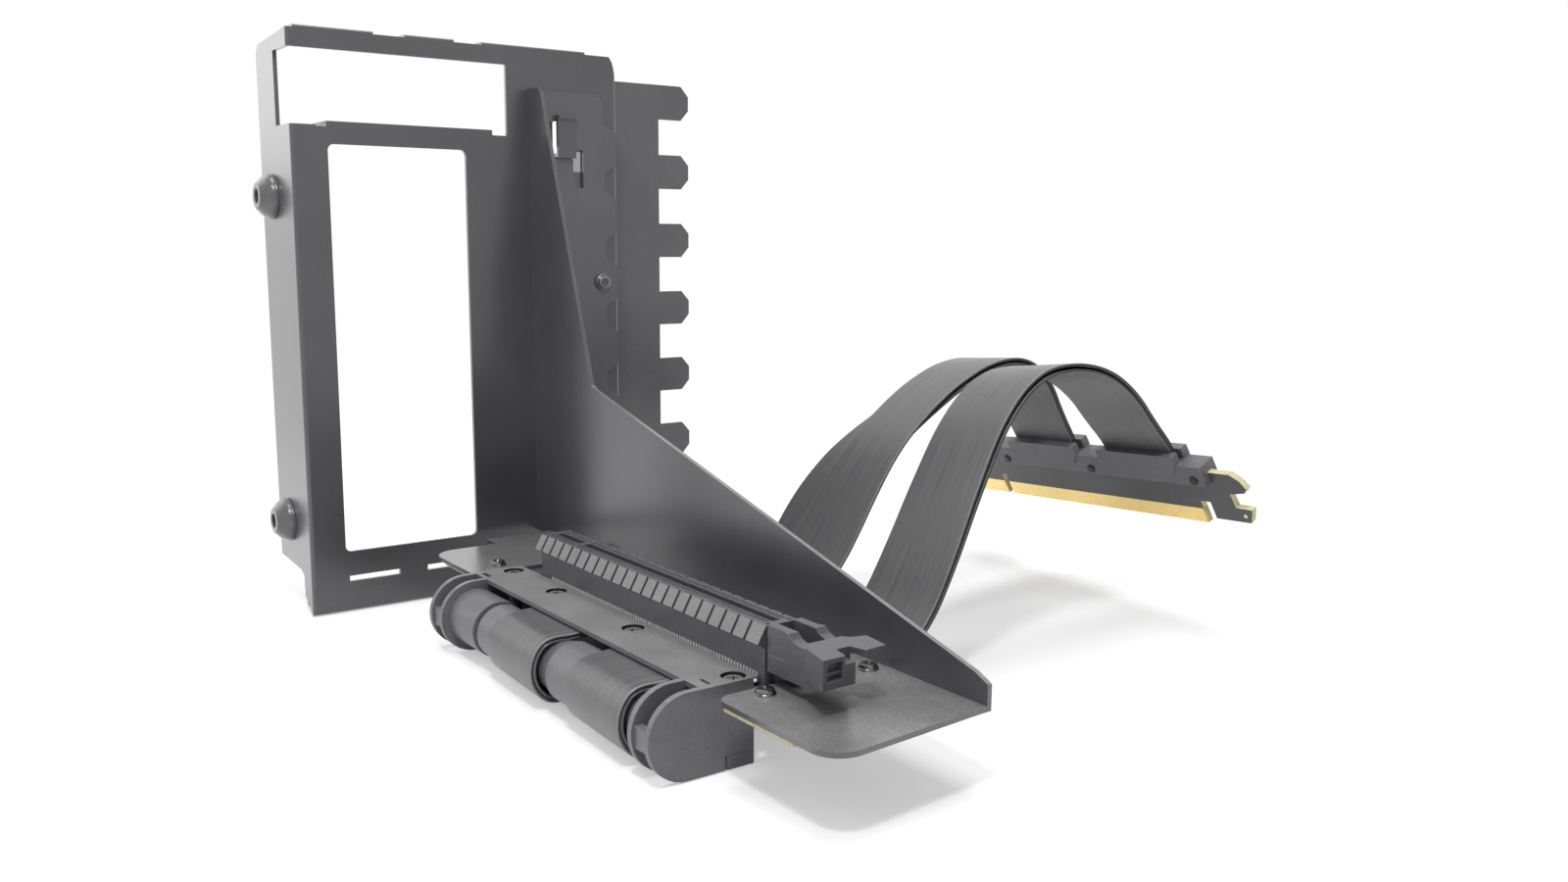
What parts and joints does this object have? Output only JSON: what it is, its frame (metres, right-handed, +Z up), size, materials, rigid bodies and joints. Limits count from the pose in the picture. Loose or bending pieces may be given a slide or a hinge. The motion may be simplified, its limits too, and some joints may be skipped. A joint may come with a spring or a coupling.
{
  "type": "vertical gpu mount",
  "caption": "Black steel frame with a gusset and shelf that holds a card riser upright, with flat ribbon cables running from the riser to an edge plug.",
  "frame": {"origin": "on the floor under the middle of the rigid mount, without the ribbons and plug", "axes": "+X from the slot frame to the shelf's free end, +Y to the side where the ribbons leave, +Z up"},
  "size_m": [0.201, 0.1904, 0.1425],
  "materials": {
    "black_steel": "fine matte powder coat",
    "black_screw": "satin black",
    "silver_screw": "bright plated",
    "board": "black solder mask",
    "black_plastic": "fine matte moulding",
    "contact": "plated",
    "gold": "gold plate",
    "ribbon": "satin jacket with fine lengthwise ribs"
  },
  "bodies": {
    "mount": {"slot_frame": "black_steel", "gusset_shelf": "black_steel", "lower_flange_screw": "black_screw", "upper_flange_screw": "black_screw", "bracket_screw": "black_screw", "shelf_screws": "silver_screw", "riser_pcb": "board", "socket_housing": "black_plastic", "socket_contacts": "contact", "riser_cover": "black_plastic", "bottom_cover": "black_plastic", "cover_screws": "black_screw", "cable_core": "black_plastic", "ribbon_left": "ribbon", "ribbon_right": "ribbon", "plug_pcb": "board", "plug_fingers": "gold", "plug_front_shell": "black_plastic", "plug_back_shell": "black_plastic", "plug_pins": "black_plastic"},
    "latch": {"socket_latch": "black_plastic"}
  },
  "joints": [
    {"name": "latch_tilt", "type": "hinge", "parent": "mount", "child": "latch", "pos_m": [0.068, -0.0189, 0.02], "axis": [0, 1, 0], "range_deg": [0, 10]}
  ]
}
